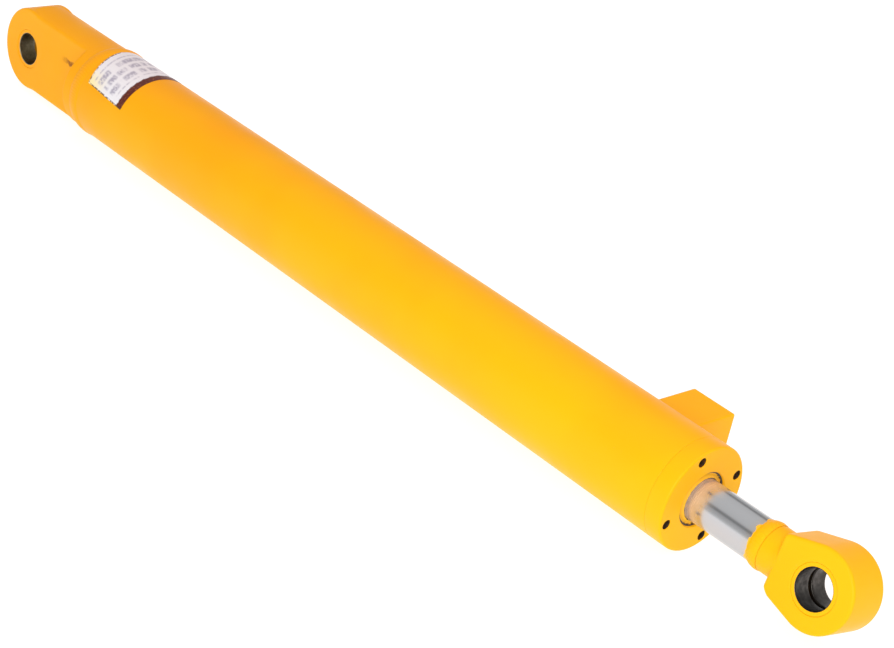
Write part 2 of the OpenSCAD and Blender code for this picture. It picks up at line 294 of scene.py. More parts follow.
def piece(name, shell, body, finishes, stands_for, crease=32, marks=None):
    """Puts a shell into a mesh object that rides on a body and stands for CAD nodes.

    Marks are the label's own measures, one triple for each of the shell's points.
    """
    mesh = bpy.data.meshes.new(name)
    mesh.from_pydata(np.concatenate(shell.points).tolist(), [], shell.faces)
    if marks is not None:
        layer = mesh.attributes.new(LABEL_MAP, "FLOAT_VECTOR", "POINT")
        layer.data.foreach_set("vector", marks.astype(np.float32).ravel())
    for finish in finishes:
        mesh.materials.append(finish)
    mesh.polygons.foreach_set("material_index", shell.finish)
    work = bmesh.new()
    work.from_mesh(mesh)
    bmesh.ops.remove_doubles(work, verts=work.verts, dist=SAME_POINT)
    bmesh.ops.recalc_face_normals(work, faces=work.faces)
    work.to_mesh(mesh)
    work.free()
    mesh.shade_smooth()
    mesh.set_sharp_from_angle(angle=math.radians(crease))
    thing = bpy.data.objects.new(name, mesh)
    bpy.context.scene.collection.objects.link(thing)
    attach(thing, body)
    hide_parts(*stands_for)


# -------------------------------------------------------------- materials


class Finish:
    """A material's node tree, with one short call for each kind of node."""

    def __init__(self, name):
        self.material = bpy.data.materials.new(name)
        self.material.use_nodes = True
        self.tree = self.material.node_tree
        self.shader = self.tree.nodes["Principled BSDF"]
        self.place = self.node("ShaderNodeTexCoord").outputs["Object"]

    def node(self, kind, inputs=None, **settings):
        """Adds a node, with its settings and with values or links on its sockets."""
        made = self.tree.nodes.new(kind)
        for key, value in settings.items():
            setattr(made, key, value)
        for key, value in (inputs or {}).items():
            self.put(made.inputs[key], value)
        return made

    def put(self, socket, value):
        """Sets a socket to a value, or links another socket to it."""
        if isinstance(value, bpy.types.NodeSocket):
            self.tree.links.new(value, socket)
        else:
            socket.default_value = value

    def set(self, **values):
        """Sets the shader's sockets, with _ for a space in a socket's name."""
        for key, value in values.items():
            self.put(self.shader.inputs[key.replace("_", " ")], value)
        return self

    def stretched(self, scale):
        """Place times a scale on each axis."""
        inputs = {"Vector": self.place, "Scale": scale}
        return self.node("ShaderNodeMapping", inputs).outputs["Vector"]

    def noise(self, scale, detail=2.0, vector=None):
        """Cloudy noise about 0.5."""
        inputs = {"Vector": vector or self.place, "Scale": scale, "Detail": detail}
        return self.node("ShaderNodeTexNoise", inputs).outputs["Fac"]

    def ramp(self, value, low, high, to_low=0.0, to_high=1.0):
        """Eased ramp of a value between two ends."""
        inputs = {"Value": value, "From Min": low, "From Max": high,
                  "To Min": to_low, "To Max": to_high}
        made = self.node("ShaderNodeMapRange", inputs, interpolation_type="SMOOTHSTEP")
        return made.outputs["Result"]

    def math(self, operation, first, second=0.0):
        """One arithmetic step."""
        return self.node("ShaderNodeMath", {0: first, 1: second}, operation=operation).outputs[0]

    def parts(self, vector=None):
        """X, Y and Z of a vector as three values."""
        made = self.node("ShaderNodeSeparateXYZ", {"Vector": vector or self.place})
        return made.outputs["X"], made.outputs["Y"], made.outputs["Z"]

    def mix(self, share, first, second):
        """First colour where share is 0, second where it is 1."""
        made = self.node("ShaderNodeMix", {0: share, 6: first, 7: second}, data_type="RGBA")
        return made.outputs[2]

    def bump(self, height, distance, strength=1.0, normal=None):
        """Normal of a height field whose 1 is that distance in metres."""
        inputs = {"Height": height, "Distance": distance, "Strength": strength}
        if normal is not None:
            inputs["Normal"] = normal
        return self.node("ShaderNodeBump", inputs).outputs["Normal"]


def colour(red, green, blue):
    """Colour with full alpha."""
    return (red, green, blue, 1.0)


YELLOW = colour(0.93, 0.488, 0.003)
DEEP_YELLOW = colour(0.92, 0.385, 0.004)
DUST = colour(0.70, 0.40, 0.07)
MIST = colour(0.86, 0.72, 0.56)
STREAK_BROWN = colour(0.26, 0.075, 0.005)
CHROME = colour(0.555, 0.56, 0.575)
RUBBER_BLACK = (0.018, 0.018, 0.019)
RUBBER_FLECK = (0.045, 0.044, 0.042)
METAL_GRAIN = 300.0


def painted(finish):
    """Thick sprayed enamel: deeper yellow in clouds, deeper towards the base end partly as the paint's own
    tone and partly as painted shade, orange peel, fine dust.
    """
    along = finish.parts()[0]
    # Deeper yellow towards the base end: partly the paint's own tone, partly painted shade for the light
    # falling off at that end.
    base_end_shade = finish.ramp(along, 1.0, 0.0, 0.0, 0.75)
    cloud = finish.ramp(finish.noise(9.0, 3.0), 0.35, 0.75, 0.0, 0.35)
    deep = finish.math("ADD", base_end_shade, cloud)
    paint = finish.mix(deep, YELLOW, DEEP_YELLOW)
    dust = finish.ramp(finish.noise(420.0, 3.0), 0.66, 0.78, 0.0, 0.20)
    return finish.mix(dust, paint, DUST)


def paint_surface(finish, paint, roughness):
    """Sets the enamel's gloss and its two scales of unevenness."""
    waves = finish.bump(finish.noise(70.0, 2.0), 0.00035, 0.45)
    peel = finish.bump(finish.noise(650.0, 2.0), 0.00006, 0.5, waves)
    finish.set(Base_Color=paint, Roughness=roughness, Normal=peel,
               Coat_Weight=0.04, Coat_Roughness=0.25, Specular_IOR_Level=0.09)


def make_enamel():
    """Enamel of every painted piece."""
    finish = Finish("yellow_enamel")
    paint_surface(finish, painted(finish), finish.ramp(finish.noise(22.0, 4.0), 0.3, 0.7, 0.34, 0.46))
    return finish.material


def make_streaked_enamel():
    """Enamel of the base eye, with a dark brown streak along its near flat."""
    finish = Finish("scuffed_enamel")
    x, y, z = finish.parts()
    streak_height = 0.0240
    streak_slope = 0.10
    height = finish.math("ADD", z, finish.math("MULTIPLY", x, streak_slope))
    ragged = finish.ramp(finish.noise(110.0, 4.0), 0.3, 0.7, -0.0012, 0.0012)
    above = finish.math("SUBTRACT", height, streak_height)
    off_line = finish.math("ABSOLUTE", finish.math("ADD", above, ragged))
    across = finish.ramp(off_line, 0.0016, 0.0042, 1.0, 0.0)
    starts = finish.ramp(x, 0.064, 0.084)
    ends = finish.ramp(x, 0.1045, 0.1115, 1.0, 0.0)
    near = finish.ramp(y, -0.018, -0.021)
    share = finish.math("MULTIPLY", finish.math("MULTIPLY", across, starts),
                        finish.math("MULTIPLY", ends, near))
    blotch = finish.ramp(finish.noise(240.0, 3.0), 0.35, 0.6, 0.55, 0.90)
    paint = finish.mix(finish.math("MULTIPLY", share, blotch), painted(finish), STREAK_BROWN)
    paint_surface(finish, paint, finish.ramp(finish.noise(22.0, 4.0), 0.3, 0.7, 0.36, 0.50))
    return finish.material


def make_chrome():
    """Hard chrome polished round the rod, with yellow overspray at the eye and a pale film by the gland."""
    finish = Finish("polished_chrome")
    along = finish.parts()[0]
    rings = finish.noise(1.0, 3.0, finish.stretched((5200.0, 60.0, 60.0)))
    ragged = finish.ramp(finish.noise(110.0, 4.0), 0.25, 0.75, -0.0022, 0.0022)
    edge = finish.math("ADD", along, ragged)
    sprayed = finish.ramp(edge, ROD_FRONT - 0.0078, ROD_FRONT - 0.0070)
    haze = finish.ramp(edge, ROD_FRONT - 0.016, ROD_FRONT - 0.0070, 0.0, 0.10)
    drift = finish.math("ADD", along, finish.ramp(finish.noise(60.0, 4.0), 0.25, 0.75, -0.004, 0.004))
    film = finish.math("MULTIPLY", finish.ramp(drift, GLAND_FACE + 0.004, GLAND_FACE + 0.026, 0.42, 0.0),
                       finish.ramp(along, GLAND_FACE - 0.003, GLAND_FACE - 0.001))
    bare = finish.mix(haze, CHROME, YELLOW)
    bare = finish.mix(film, bare, MIST)
    finish.set(
        Base_Color=finish.mix(sprayed, bare, YELLOW),
        Metallic=finish.math("SUBTRACT", finish.math("SUBTRACT", 1.0, sprayed), film),
        Roughness=finish.math("ADD", finish.ramp(rings, 0.3, 0.7, 0.13, 0.20),
                              finish.math("MULTIPLY", finish.math("ADD", sprayed, film), 0.2)),
        Normal=finish.bump(rings, 0.000004, 0.35),
    )
    return finish.material


def make_metal(name, tint, roughness, oil=None, oil_share=0.5):
    """Turned or ground metal: fine noise in tone and roughness, with a film of oil in clouds."""
    finish = Finish(name)
    darker = colour(*(0.62 * channel for channel in tint))
    tone = finish.mix(finish.ramp(finish.noise(METAL_GRAIN, 4.0), 0.3, 0.7), colour(*tint), darker)
    if oil is not None:
        film = finish.ramp(finish.noise(45.0, 3.0), 0.35, 0.65, 0.0, oil_share)
        tone = finish.mix(film, tone, colour(*oil))
    finish.set(
        Base_Color=tone,
        Metallic=1.0,
        Roughness=finish.ramp(finish.noise(METAL_GRAIN * 0.5, 4.0), 0.3, 0.7, roughness, roughness + 0.16),
        Normal=finish.bump(finish.noise(METAL_GRAIN * 6, 3.0), 0.00002, 0.4),
    )
    return finish.material


def flecked(finish, tint, fleck):
    """Body colour of rubber or plastic with fine flecks in it."""
    share = finish.ramp(finish.noise(900.0, 3.0), 0.45, 0.7, 0.0, 0.5)
    return finish.mix(share, colour(*tint), colour(*fleck))


def moulded_surface(finish, base, smoothest, roughest, sheen=0.0):
    """Sets the colour, the uneven gloss and the faint grain of a moulded surface."""
    finish.set(
        Base_Color=base,
        Roughness=finish.ramp(finish.noise(120.0, 3.0), 0.3, 0.7, smoothest, roughest),
        Normal=finish.bump(finish.noise(1400.0, 2.0), 0.00002, 0.5),
        Sheen_Weight=sheen,
    )


def make_moulded(name, tint, roughness, fleck, sheen=0.0):
    """Rubber or plastic: flecked body colour with a faint moulded grain."""
    finish = Finish(name)
    moulded_surface(finish, flecked(finish, tint, fleck), roughness, roughness + 0.14, sheen)
    return finish.material


LABEL_MAP = "label_mm"
LABEL_WIDE = 64.0
LABEL_DOWN = 82.0
LABEL_STRIPE = 8.5
LABEL_ROW = 11.5
LABEL_WHITE = colour(0.80, 0.80, 0.83)
LABEL_CREAM = colour(0.93, 0.80, 0.40)
LABEL_INK = colour(0.40, 0.385, 0.47)
LABEL_MAROON = colour(0.095, 0.012, 0.006)
LABEL_RUST = colour(0.42, 0.13, 0.03)
LABEL_EDGE_SHADOW = colour(0.13, 0.065, 0.015)


def make_label():
    """Printed vinyl. The attribute gives millimetres from the base-end edge and from the upper edge."""
    finish = Finish("printed_vinyl")
    sheet = finish.node("ShaderNodeAttribute", attribute_name=LABEL_MAP).outputs["Vector"]
    across, down, _ = finish.parts(sheet)
    to_stripe = finish.math("SUBTRACT", LABEL_WIDE - LABEL_STRIPE, across)
    to_bottom = finish.math("SUBTRACT", LABEL_DOWN, down)

    def lumps(along, crosswise, seed):
        """Noise on the sheet, stretched by its own scale down the sheet and across it."""
        inputs = {"X": finish.math("MULTIPLY", down, along), "Y": crosswise, "Z": seed}
        return finish.noise(1.0, 1.5, finish.node("ShaderNodeCombineXYZ", inputs).outputs[0])

    row = finish.math("DIVIDE", across, LABEL_ROW)
    in_row = finish.math("FRACT", row)
    words = lumps(0.11, finish.math("FLOOR", row), 3.7)
    letters = lumps(0.42, finish.math("MULTIPLY", across, 0.2), 8.1)
    line = finish.math("MULTIPLY", finish.ramp(in_row, 0.05, 0.35), finish.ramp(in_row, 0.97, 0.67))
    print_here = finish.math("MULTIPLY", line, finish.ramp(words, 0.36, 0.52))
    print_here = finish.math("MULTIPLY", print_here, finish.ramp(letters, 0.30, 0.60, 0.25, 1.0))
    sides = finish.math("MULTIPLY", finish.ramp(across, 7.0, 9.0), finish.ramp(to_stripe, 5.0, 7.0))
    ends = finish.math("MULTIPLY", finish.ramp(down, 3.0, 6.0), finish.ramp(to_bottom, 5.0, 8.0))
    ink = finish.math("MULTIPLY", print_here, finish.math("MULTIPLY", sides, ends))

    aged = finish.math("MULTIPLY", finish.ramp(to_bottom, 24.0, 0.0), finish.ramp(across, 34.0, 2.0))
    face = finish.mix(ink, finish.mix(aged, LABEL_WHITE, LABEL_CREAM), LABEL_INK)
    frayed = finish.ramp(finish.noise(0.55, 3.0, sheet), 0.3, 0.7, -1.1, 1.1)
    stripe = finish.ramp(finish.math("ADD", to_stripe, frayed), 0.5, -0.5)
    speck = finish.ramp(finish.noise(0.55, 3.0, sheet), 0.56, 0.70)
    face = finish.mix(stripe, face, finish.mix(speck, LABEL_MAROON, LABEL_RUST))

    # Thin dashed dark line along the base-end and lower edges: painted shadow of the label's edge.
    to_edge = finish.math("MINIMUM", across, to_bottom)
    dashes = finish.ramp(finish.noise(0.45, 2.0, sheet), 0.42, 0.54)
    edge_shadow = finish.math("MULTIPLY", finish.ramp(to_edge, 1.9, 0.9), dashes)
    face = finish.mix(edge_shadow, face, LABEL_EDGE_SHADOW)
    finish.set(Base_Color=face, Roughness=0.42, Coat_Weight=0.12, Coat_Roughness=0.25,
               Specular_IOR_Level=0.25, Normal=finish.bump(finish.noise(0.12, 2.0, sheet), 0.0002, 0.4))
    return finish.material


def make_sprayed_rubber():
    """Black rubber with yellow overspray on its outer face, ragged towards the groove and the lip."""
    finish = Finish("sprayed_rubber")
    along, y, z = finish.parts()
    squares = finish.math("ADD", finish.math("MULTIPLY", y, y), finish.math("MULTIPLY", z, z))
    radius = finish.math("SQRT", squares)
    ragged = finish.ramp(finish.noise(380.0, 3.0), 0.3, 0.7, -0.0005, 0.0005)
    reached = finish.math("ADD", radius, ragged)
    outside = finish.ramp(along, GLAND_FACE - 0.0040, GLAND_FACE - 0.0034)
    inner = finish.ramp(reached, ROD_R + 0.0002, ROD_R + 0.0008)
    outer = finish.ramp(reached, RECESS_R - 0.0012, RECESS_R - 0.0020)
    share = finish.math("MULTIPLY", outside, finish.math("MULTIPLY", inner, outer))
    bare = flecked(finish, RUBBER_BLACK, RUBBER_FLECK)
    moulded_surface(finish, finish.mix(share, bare, YELLOW), 0.48, 0.60)
    return finish.material


def make_thin_overspray_painted_shade():
    """Thin overspray darkened to near black: painted shade on the walls and bottom of a deep hole."""
    finish = Finish("thin_paint")
    # Near-black patches: painted shade deep in the hole.
    bare = finish.ramp(finish.noise(260.0, 3.0), 0.35, 0.6)
    finish.set(Base_Color=finish.mix(bare, colour(0.10, 0.035, 0.004), colour(0.02, 0.016, 0.012)),
               Roughness=finish.ramp(finish.noise(200.0), 0.3, 0.7, 0.5, 0.8))
    return finish.material


enamel = make_enamel()
scuffed_enamel = make_streaked_enamel()
chrome = make_chrome()
base_bush_steel = make_metal("oiled_bush_steel", (0.44, 0.39, 0.27), 0.30,
                             oil=(0.09, 0.06, 0.02), oil_share=0.55)
# The rod eye's bush is darker than the base eye's same bush: painted shade in its bore, with clouds of grease
# on top.
rod_bush_painted_shade = make_metal("greased_bush_steel", (0.115, 0.105, 0.095), 0.34,
                            oil=(0.020, 0.016, 0.012), oil_share=0.8)
bright_steel = make_metal("bright_turned_steel", (0.52, 0.52, 0.53), 0.26)
thread_steel = make_metal("oiled_thread_steel", (0.30, 0.295, 0.28), 0.34,
                          oil=(0.07, 0.055, 0.03), oil_share=0.6)
black_steel = make_metal("black_oxide_steel", (0.05, 0.05, 0.055), 0.40)
brass = make_metal("nipple_brass", (0.72, 0.50, 0.20), 0.24)
rubber = make_moulded("black_rubber", RUBBER_BLACK, 0.52, RUBBER_FLECK, sheen=0.1)
polyurethane = make_moulded("blue_polyurethane", (0.03, 0.10, 0.36), 0.36, (0.05, 0.15, 0.45))
green_ptfe = make_moulded("green_seal_plastic", (0.02, 0.16, 0.08), 0.40, (0.05, 0.24, 0.13))
white_ptfe = make_moulded("white_backup_plastic", (0.74, 0.73, 0.68), 0.42, (0.62, 0.60, 0.54))
phenolic = make_moulded("woven_phenolic", (0.33, 0.14, 0.05), 0.46, (0.20, 0.08, 0.03))
vinyl = make_label()
sprayed_rubber = make_sprayed_rubber()
thin_paint = make_thin_overspray_painted_shade()

# ------------------------------------------------------------------- eyes


def eye_loops(outline_at, half_at, edge):
    """Loops from the middle of an eye's bore over one face to the middle of its side.

    Each loop is the outline drawn in to the bore's circle or to the face, and the
    rim is a parabola arc between the face and the side.
    """
    rim = outline_at(1.0)
    heading = unit(rim)
    share = 1 - edge / EYE_HALF

    def loop(flat, deep):
        return np.stack([flat[:, 0], np.broadcast_to(-deep, len(flat)), flat[:, 1]], -1)

    def circle(radius, deep):
        return loop(radius * heading, deep)

    inset = drawn_in(rim, edge)
    side = outline_at(share)
    mouth = circle(SEAT_R + MOUTH, EYE_HALF)
    face_end = loop(inset, half_at(inset[:, 0]))
    corner = loop(rim, half_at(rim[:, 0]))
    side_start = loop(side, share * half_at(side[:, 0]))
    loops = [
        between(circle(SEAT_R, 0.0), circle(SEAT_R, EYE_HALF - MOUTH), 6),
        bend(circle(SEAT_R, EYE_HALF - MOUTH), circle(SEAT_R, EYE_HALF), mouth, 4),
    ]
    for t in 1 - (1 - np.linspace(0, 1, 33)) ** 1.6:
        flat = mouth[:, [0, 2]] * (1 - t) + inset * t
        loops.append(loop(flat, half_at(flat[:, 0]))[None])
    loops.append(bend(face_end, corner, side_start, 9))
    for t in np.linspace(share, 0, 19):
        flat = outline_at(t)
        loops.append(loop(flat, t * half_at(flat[:, 0]))[None])
    return np.concatenate(loops)


def both_sides(near, far):
    """Near loops followed by the far loops' mirror images across Y, back to the start."""
    return np.concatenate([near, (far * [1, -1, 1])[-2:0:-1]])


GREASE_WAY = np.array([math.cos(math.radians(225)), 0.0, math.sin(math.radians(225))])
SPOT_R = 0.0075
NIPPLE_SEAT = 0.004


def spot_faced(points, radius):
    """Points near the grease nipple pressed down to a flat seat, with a steep wall round it."""
    out = points @ GREASE_WAY
    off = np.linalg.norm(points - out[..., None] * GREASE_WAY, axis=-1)
    limit = radius - NIPPLE_SEAT + 0.012 * eased((off - SPOT_R) / 0.0022)
    push = np.where(out > 0, np.minimum(0, limit - out), 0)
    return points + push[..., None] * GREASE_WAY


def make_base_eye():
    """Base bar: an eye with two flats, milled into a round flange and a spigot.

    Its side is the higher of the bar's own round and the eye's circle, joined
    softly as (a + b + sqrt((a - b)^2 + soft^2)) / 2.
    """
    fillet = 0.005
    soft = 0.0004
    fillet_start = FLANGE_START + 0.0003 - fillet
    inside = FLANGE_START + 0.004

    def half_at(x):
        into = np.clip(x - fillet_start, 0, fillet)
        return EYE_HALF + fillet - np.sqrt(fillet**2 - into**2)

    def outline_at(share):
        x = np.concatenate([np.linspace(inside, fillet_start, 16), np.linspace(fillet_start, 0, 56)[1:]])
        sunk = 0.0003 * eased((x - FLANGE_START - 0.001) / 0.002)
        bar = np.sqrt((BAR_R - sunk) ** 2 - (share * half_at(x)) ** 2)
        eye = np.sqrt(np.maximum(BASE_EYE_R**2 - x**2, 0))
        z = (bar + eye + np.hypot(bar - eye, soft)) / 2
        turn = np.linspace(math.pi / 2, 1.5 * math.pi, 112)[1:-1]
        radius = BASE_EYE_R + (z[-1] - BASE_EYE_R) * eased(1 + BASE_EYE_R * np.cos(turn) / 0.010)
        top = np.stack([x, z], -1)
        round_end = np.stack([radius * np.cos(turn), radius * np.sin(turn)], -1)
        rise = np.linspace(-1, 1, 50)[1:-1]
        cut_end = np.stack([np.full(len(rise), inside), rise * z[0]], -1)
        return np.concatenate([top, round_end, top[::-1] * [1, -1], cut_end])

    near = eye_loops(outline_at, half_at, EDGE)
    far = eye_loops(outline_at, half_at, EDGE * 0.4)
    shell = Shell().grid(spot_faced(both_sides(near, far), BASE_EYE_R), closed_rows=True)
    flange = rounded(
        [[FLANGE_START, 0.006], [FLANGE_START, BAR_R], [BAR_END, BAR_R], [BAR_END, BORE_R - 0.0001],
         [SPIGOT_END, BORE_R - 0.0001], [SPIGOT_END, 0.006]],
        [0, 0.0018, 0.0005, 0, 0.002, 0])
    shell.solid(turned(spaced(flange, 0.003)))
    piece("base_eye", shell, "barrel", [scuffed_enamel], ["base_eye_forging"])


def rod_eye_outline():
    """Round eye with two straight sides that run back to a square shoulder."""
    reach_to_corner = math.hypot(SHOULDER_BACK, SHOULDER_HALF)
    touch = math.atan2(SHOULDER_HALF, SHOULDER_BACK) - math.acos(ROD_EYE_R / reach_to_corner)
    turn = np.linspace(touch, -touch, 121)
    nose = ROD_EYE_R * np.stack([np.cos(turn), np.sin(turn)], -1)
    cut = 0.0035
    tail = rounded([nose[-1], [SHOULDER_BACK, -SHOULDER_HALF], [SHOULDER_BACK, SHOULDER_HALF], nose[0]],
                   [0, cut, cut, 0])
    return spaced(np.concatenate([nose, spaced(tail, 0.0015)[1:-1]]), 0.0015, closed=True)


def make_rod_eye():
    """Rod eye: the same eye with its own outline, and a collar that flares into the shoulder."""
    outline = rod_eye_outline()
    near = eye_loops(lambda share: outline, lambda x: np.full(np.shape(x), EYE_HALF), EDGE)
    body = spot_faced(both_sides(near, near), ROD_EYE_R)
    neck = ROD_FRONT - ROD_PIN[0]
    collar = rounded(
        [[neck + 0.0085, 0.004], [neck + 0.0085, 0.010], [neck, 0.010], [neck, 0.013],
         [neck + 0.005, COLLAR_R], [SHOULDER_BACK - 0.004, COLLAR_R], [SHOULDER_BACK, 0.0223],
         [SHOULDER_BACK + 0.004, 0.0223], [SHOULDER_BACK + 0.004, 0.004]],
        [0, 0, 0, 0, 0.001, 0.003, 0.001, 0, 0])
    shell = Shell().grid(placed(body, ROD_PIN, X_AXIS, ROD_PIN_AXIS), closed_rows=True)
    shell.solid(placed(turned(spaced(collar, 0.002)), ROD_PIN, X_AXIS, ROD_PIN_AXIS))
    piece("rod_eye_body", shell, "rod", [enamel], ["rod_eye"])


def make_bush(name, body, centre, axis, side, steel, stands_for):
    """Pin bush with rounded mouths. Its outer end face took paint, its bore did not."""
    near = side * (EYE_HALF - BUSH_INSET)
    inner = side * BUSH_GAP / 2
    profile = rounded(
        [[near, PIN_R], [near, SEAT_R - 0.00002], [inner, SEAT_R - 0.00002], [inner, PIN_R]],
        [0.0009, 0.0005, 0.0005, 0.0009], closed=True)
    profile = spaced(profile, 0.002, closed=True)
    painted_row = (np.abs(profile[:, 0] - near) < 0.0003) & (profile[:, 1] > PIN_R + 0.0006)
    finish = np.repeat(painted_row, 128).astype(int)
    rings = placed(turned(profile, 128), centre, axis, X_AXIS)
    shell = Shell().grid(rings, closed_rows=True, finish=finish)
    piece(name, shell, body, [steel, enamel], [stands_for])


def make_nipple(name, body, centre, side, radius, stands_for):
    """Grease nipple: shank, hexagon and ball head, the hexagon's radius being its flat over cos."""
    seat = radius - NIPPLE_SEAT
    flat = 0.0045
    hex_high = 0.004
    profile = rounded(
        [[seat - 0.0045, 0.0005], [seat - 0.0045, 0.003], [seat, 0.003], [seat, 0.0052],
         [seat + hex_high, 0.0052], [seat + hex_high, 0.0034], [seat + 0.007, 0.0022],
         [seat + 0.0085, 0.0022], [seat + 0.0085, 0.0032], [seat + 0.010, 0.0026],
         [seat + 0.010, 0.0005]],
        [0, 0, 0, 0.0002, 0.0005, 0, 0.0006, 0.0002, 0.0006, 0.0008, 0])
    profile = spaced(profile, 0.0006)

    def swell(x, a):
        six = flat / np.cos((a + TURN / 12) % (TURN / 6) - TURN / 12)
        on_hexagon = (x > seat - 1e-6) & (x < seat + hex_high + 1e-5)
        own = profile[:, 1][:, None]
        return np.where(on_hexagon, np.minimum(own, six) - own, 0)

    way = placed(GREASE_WAY, HERE, X_AXIS, side)
    across = placed(Y_AXIS, HERE, X_AXIS, side)
    shell = Shell().solid(placed(turned(profile, 72, swell=swell), centre, way, across))
    piece(name, shell, body, [brass], [stands_for], crease=25)


# ----------------------------------------------------------- barrel group


def make_barrel():
    """Tube turned from its wall's outline: bevelled for the weld, and bored out for the gland."""
    outline = rounded(
        [[TUBE_START, BORE_R], [THREAD_START, BORE_R], [THREAD_START, THREAD_R], [TUBE_END, THREAD_R],
         [TUBE_END, BARREL_R], [TUBE_START + WELD_PREP, BARREL_R], [TUBE_START, ROOT_R]],
        [0, 0, 0, 0, JOINT_GAP * 1.5, 0, 0], closed=True)
    shell = Shell().grid(turned(spaced(outline, 0.02, closed=True)), closed_rows=True)
    piece("barrel", shell, "barrel", [enamel], ["barrel_tube"])


def ripple(along, across):
    """Height from 0 to 1 of the crescents that a weld leaves, one per unit of along, bowed across."""
    phase = along + 0.55 * (1 - (2 * across - 1) ** 2)
    return (0.5 + 0.5 * np.sin(TURN * phase)) * np.sin(math.pi * np.clip(across, 0, 1)) ** 0.5


def make_base_weld():
    """Butt weld round the base bar: a low crown, sin(180 t) high, with crescent ripples."""
    lap = 0.003
    crown_high = 0.0015
    ripple_high = 0.0003
    left = BAR_END - lap
    right = TUBE_START + WELD_PREP + lap
    t = np.linspace(0, 1, 33)[:, None]
    start = np.array([right, BARREL_R - 0.0001])
    end = np.array([left, BAR_R - 0.0001])
    crown = start + (end - start) * t + [0, 1] * (crown_high * np.sin(math.pi * t) ** 0.7)
    under = [[BAR_END, ROOT_R], [TUBE_START, ROOT_R], [TUBE_START + WELD_PREP, BARREL_R - 0.0002]]
    profile = np.concatenate([under, crown, [[BAR_END, BAR_R - 0.0002]]])
    count = 480
    ripples = 96

    def swell(x, a):
        across = (x - left) / (right - left)
        on_crown = profile[:, 1][:, None] > BAR_R - 0.00015
        return ripple_high * on_crown * ripple(a / TURN * ripples, across)

    shell = Shell().grid(turned(profile, count, swell=swell), closed_rows=True)
    piece("base_weld_bead", shell, "barrel", [enamel], ["base_weld"])


def make_gland():
    """Gland turned from its outline, its face laid in four quarters round the spanner holes."""
    quarter = ROUND // 4
    start = SPANNER_FIRST - TURN / 8
    rim = 0.0024
    inner = RECESS_R + 0.001
    outer = BARREL_R - rim
    bore = ROD_R + 0.0004
    outline = rounded(
        [[GLAND_FACE, outer], [GLAND_FACE, BARREL_R], [TUBE_END + 0.00002, BARREL_R],
         [TUBE_END + 0.00002, THREAD_R - 0.00005], [THREAD_START, THREAD_R - 0.00005],
         [THREAD_START, BORE_R - 0.00005], [GLAND_END, BORE_R - 0.00005], [GLAND_END, bore],
         [GLAND_FACE - RECESS_DEEP, bore], [GLAND_FACE - RECESS_DEEP, RECESS_R],
         [GLAND_FACE - 0.001, RECESS_R], [GLAND_FACE, inner]],
        [0, rim, JOINT_GAP * 1.5, 0, 0.0005, 0, 0.0016, 0.001, 0, 0, 0.0004, 0])
    shell = Shell().grid(turned(spaced(outline, 0.008), start=start))
    arc = np.arange(quarter + 1) / quarter * TURN / 4 - TURN / 8
    climb = np.linspace(inner, outer, 13)[1:-1]
    for hole in range(4):
        middle = SPANNER_FIRST + hole * TURN / 4
        inner_arc = np.full(quarter + 1, inner)
        outer_arc = np.full(quarter + 1, outer)
        radius = np.concatenate([inner_arc, climb, outer_arc, climb[::-1]])
        side = np.full(len(climb), TURN / 8)
        angle = middle + np.concatenate([arc, side, arc[::-1], -side])
        edge = np.stack([np.full(len(angle), GLAND_FACE), radius * np.cos(angle), radius * np.sin(angle)], -1)
        centre = np.array([GLAND_FACE, SPANNER_PCR * math.cos(middle), SPANNER_PCR * math.sin(middle)])
        heading = unit(edge - centre)

        def ring(size, deep):
            return centre + size * heading - deep * X_AXIS

        lip = ring(SPANNER_R + 0.0005, 0.0)
        wall = ring(SPANNER_R, SPANNER_DEEP)
        shell.grid(between(edge, lip, 12, 1.6))
        shell.grid(bend(lip, ring(SPANNER_R, 0.0), ring(SPANNER_R, 0.0006), 3))
        # Walls and bottoms of the spanner holes take the near-black painted shade.
        shell.grid(between(ring(SPANNER_R, 0.0006), wall, 4), finish=1)
        shell.grid(between(wall, ring(0.0003, SPANNER_DEEP + 0.0025), 3), finish=1)
        shell.fan(ring(0.0003, SPANNER_DEEP + 0.0025), finish=1)
    piece("gland_head", shell, "barrel", [enamel, thin_paint], ["gland"])


def make_wiper():
    """Wiper ring: a flat body pressed into the recess and a lip that thins towards the rod."""
    back = GLAND_FACE - RECESS_DEEP + 0.00002
    outline = rounded(
        [[back, ROD_R + 0.0016], [back + 0.0034, ROD_R + 0.0016],
         [GLAND_FACE - 0.0014, ROD_R + 0.00005], [GLAND_FACE - 0.0006, ROD_R + 0.0007],
         [GLAND_FACE - 0.0032, ROD_R + 0.0034], [GLAND_FACE - 0.0032, RECESS_R - 0.0016],
         [GLAND_FACE - 0.0016, RECESS_R - 0.001], [GLAND_FACE - 0.0016, RECESS_R - 0.00002],
         [back, RECESS_R - 0.00002]],
        [0.0002, 0.0005, 0.0003, 0.0003, 0.0006, 0.0005, 0.0003, 0.0003, 0.0002], closed=True)
    shell = Shell().grid(turned(outline, 160), closed_rows=True)
    piece("wiper_ring", shell, "barrel", [sprayed_rubber], ["wiper"])


